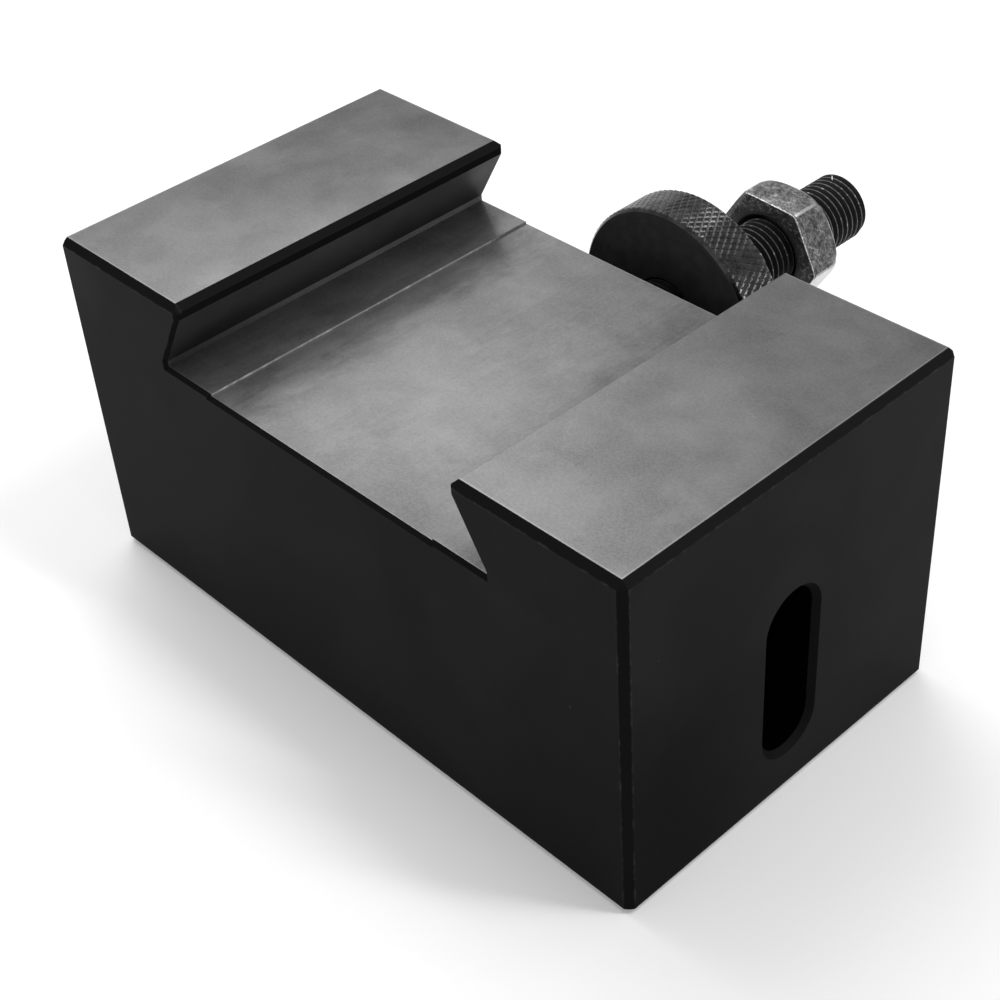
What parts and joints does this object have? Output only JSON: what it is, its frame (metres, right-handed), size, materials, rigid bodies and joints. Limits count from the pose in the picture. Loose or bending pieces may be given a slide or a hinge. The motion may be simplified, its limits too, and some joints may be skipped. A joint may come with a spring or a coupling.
{
  "type": "morse taper holder",
  "caption": "Steel tool holder block with a dovetail channel, a Morse taper socket and a height-setting stud with nuts.",
  "frame": {"origin": "centre of the block's flat rest face, opposite the dovetail channel", "axes": "+X from the taper socket's mouth to the tang slot, +Y out of the back face along the stud, +Z out of the dovetail channel's open side"},
  "size_m": [0.1, 0.0993, 0.0508],
  "materials": {
    "blackened_steel": "black oxide over ground faces",
    "stud_steel": "black oxide on rolled thread",
    "knurled_steel": "black oxide on turned and knurled steel",
    "plain_steel": "worn, uncoated"
  },
  "bodies": {
    "holder": {"holder_body": "blackened_steel", "adjusting_stud": "stud_steel"},
    "knurled_nut": {"knurled_nut": "knurled_steel"},
    "lock_nut": {"lock_nut": "plain_steel"}
  },
  "joints": [
    {"name": "knurled_nut_travel", "type": "slide", "parent": "holder", "child": "knurled_nut", "axis": [0, 1, 0], "range_m": [-0.0053, 0.0065]},
    {"name": "lock_nut_travel", "type": "slide", "parent": "holder", "child": "lock_nut", "axis": [0, 1, 0], "range_m": [-0.007, 0.0111]}
  ]
}
